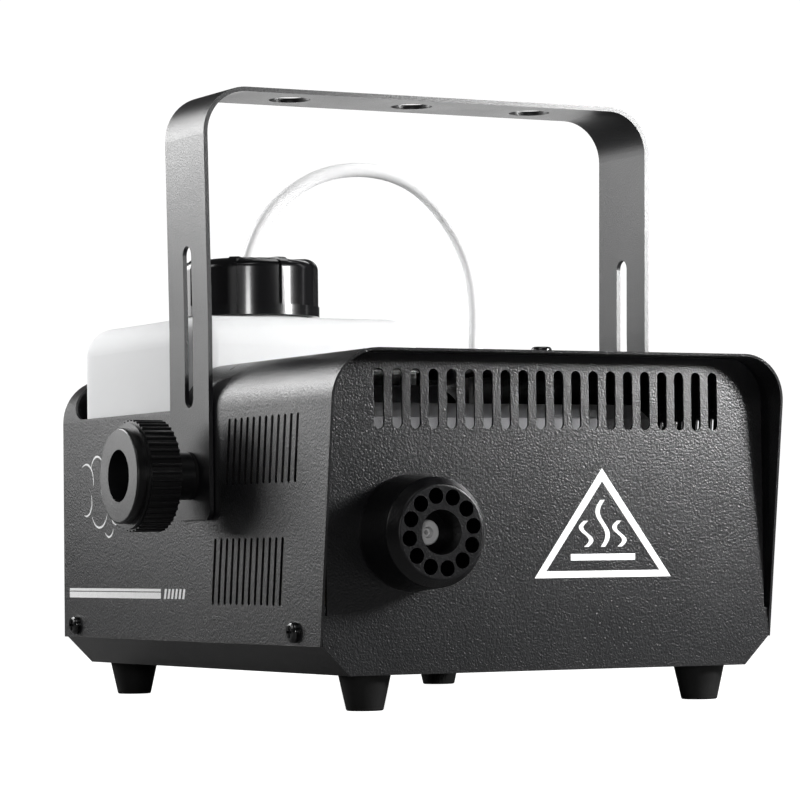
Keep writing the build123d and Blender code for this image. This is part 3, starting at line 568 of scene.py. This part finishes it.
def paint_outside():
    paint(powder_coat(), *cad("cover", "chassis", "front_panel", "rear_panel"))
    paint(yoke_coat(), *cad("bracket"))
    paint(print_ink(), front_print, left_print, right_print)
    paint(tank_shell(), *cad("tank"))
    paint(hose_silicone(), hose, *cad("pump_hose", "suction_tube", "hose"))
    paint(gloss_black("cap_gloss", roughness=0.2), *cad("tank_cap"))
    paint(gloss_black("screw_gloss", roughness=0.16), *cad("cover_screws", "top_screw"))
    paint(moulded_black("knob_plastic", roughness=0.32), *cad("left_knob", "right_knob"))
    paint(shroud_shaded_coat(), *cad("nozzle_shroud"))
    sockets = cad("power_inlet", "fuse_drawer", "switch_housing", "remote_socket")
    dark_internals = cad("pump_coil", "board_capacitor")
    paint(moulded_black("socket_plastic", roughness=0.45), *sockets, *dark_internals)
    paint(rubber(), *cad("feet", "hose_grommet", "cap_seal", "left_washer", "right_washer"))
    red = plastic("lamp_red", colour=(0.55, 0.015, 0.01), roughness=0.15)
    paint(red, *cad("switch_rocker", "indicator_light"))


def paint_metals():
    plated = cad("tank_tray", "pump_bracket", "pivot_nuts", "foot_nuts", "foot_screws")
    moving_steel = cad("left_stud", "right_stud", "pump_spring", "pump_plunger")
    paint(sheet_zinc(), *plated, *moving_steel)
    paint(shield_grey(), *cad("heater_shield"))
    paint(tip_silver(), *cad("nozzle_tip"))
    nickel = metal("pin_nickel", colour=(0.85, 0.85, 0.85), roughness=0.3, spread=0.05)
    paint(nickel, *cad("inlet_pins", "remote_pins"))
    brass = metal("brass", colour=(0.72, 0.5, 0.2), roughness=0.32)
    paint(brass, *cad("nozzle_pipe", "pump_body"))
    copper = metal("copper", colour=(0.75, 0.36, 0.2), roughness=0.3)
    paint(copper, *cad("feed_pipe"))
    aluminium = metal("cast_aluminium", colour=(0.6, 0.6, 0.61), roughness=0.5)
    paint(aluminium, *cad("heater_block"))
    sheath = metal("heater_sheath", colour=(0.3, 0.27, 0.25), roughness=0.4, spread=0.3)
    paint(sheath, *cad("heating_element", "thermostat"))


def paint_insulators():
    paint(wool(), *cad("heater_insulation"))
    ceramic = plastic("ceramic", colour=(0.8, 0.78, 0.72), roughness=0.6)
    paint(ceramic, *cad("heater_feet", "thermal_fuse", "fuse"))
    nylon = plastic("nylon", colour=(0.82, 0.82, 0.78), roughness=0.4)
    paint(nylon, *cad("board_standoffs", "suction_filter", "cap_bush"))
    blue = plastic("relay_blue", colour=(0.05, 0.14, 0.42), roughness=0.35)
    paint(blue, *cad("board_relay", "terminal_block"))
    paint(circuit_board(), *cad("control_board"))


paint_outside()
paint_metals()
paint_insulators()

# ---- floor and light ------------------------------------------------------------------

FLOOR_REACH = 6.0
FLOOR_GLOW = 1.0  # what the floor adds to its look in the camera only
SKY_TO_SURFACES = 0.05
SKY_TO_CAMERA = 1.05
WHITE = (1, 1, 1, 1)
LIT_POINT = Vector((0, 0, 0.1))  # the middle of the case, which every softbox faces

SOFTBOXES = {
    # name: place, side, watts
    "left_near": ((-0.32, 0.36, 0.36), 0.22, 1.6),
    "left_far": ((-0.58, 0.78, 0.29), 0.40, 2.1),
    "left_high": ((-0.90, 0.20, 0.50), 0.30, 1.0),
    "camera_side": ((-0.62, -1.10, 0.20), 0.15, 2.2),
    "front_right": ((0.25, -0.30, 0.27), 0.10, 1.0),
    "front_glint": ((0.42, -0.47, 0.26), 0.10, 5.0),
    "above_left": ((-0.30, -0.40, 0.70), 0.30, 0.7),
    "above": ((0.20, 0.10, 0.70), 0.30, 0.8),
    "behind_right": ((0.90, 1.10, 0.80), 0.50, 1.0),
    "behind": ((0.36, 0.70, 0.10), 0.30, 0.6),
    "right": ((1.10, -0.20, 0.60), 0.40, 1.0),
}


def whiten_to_camera(tree, strength, to_surfaces, to_camera):
    """Give a strength socket one value for light that bounces and another for the camera."""
    path = tree.nodes.new("ShaderNodeLightPath")
    reach = tree.nodes.new("ShaderNodeMapRange")
    reach.inputs["To Min"].default_value = to_surfaces
    reach.inputs["To Max"].default_value = to_camera
    tree.links.new(path.outputs["Is Camera Ray"], reach.inputs["Value"])
    tree.links.new(reach.outputs["Result"], strength)


def add_floor():
    low, high = -FLOOR_REACH, FLOOR_REACH
    corners = [(low, low, 0), (high, low, 0), (high, high, 0), (low, high, 0)]
    floor = add_object("floor", mesh_from("floor", corners, [[0, 1, 2, 3]]))
    finish = Finish("floor_white", colour=(0.2, 0.2, 0.2), roughness=0.9)
    strength = finish.shader.inputs["Emission Strength"]
    whiten_to_camera(finish.material.node_tree, strength, 0.0, FLOOR_GLOW)
    finish.set("Emission Color", WHITE)
    paint(finish, floor)


def add_softbox(name, place, side, watts):
    data = bpy.data.lights.new(name, "AREA")
    data.shape = "SQUARE"
    data.size = side
    data.energy = watts
    lamp = bpy.data.objects.new(name, data)
    SCENE.collection.objects.link(lamp)
    direction = LIT_POINT - Vector(place)
    lamp.rotation_euler = direction.to_track_quat("-Z", "Y").to_euler()
    lamp.location = place


def add_world():
    world = bpy.data.worlds.new("studio")
    world.use_nodes = True
    background = world.node_tree.nodes["Background"]
    background.inputs["Color"].default_value = WHITE
    strength = background.inputs["Strength"]
    whiten_to_camera(world.node_tree, strength, SKY_TO_SURFACES, SKY_TO_CAMERA)
    SCENE.world = world
    SCENE.view_settings.view_transform = "Standard"


add_floor()
add_world()
for name, (place, side, watts) in SOFTBOXES.items():
    add_softbox(name, place, side, watts)
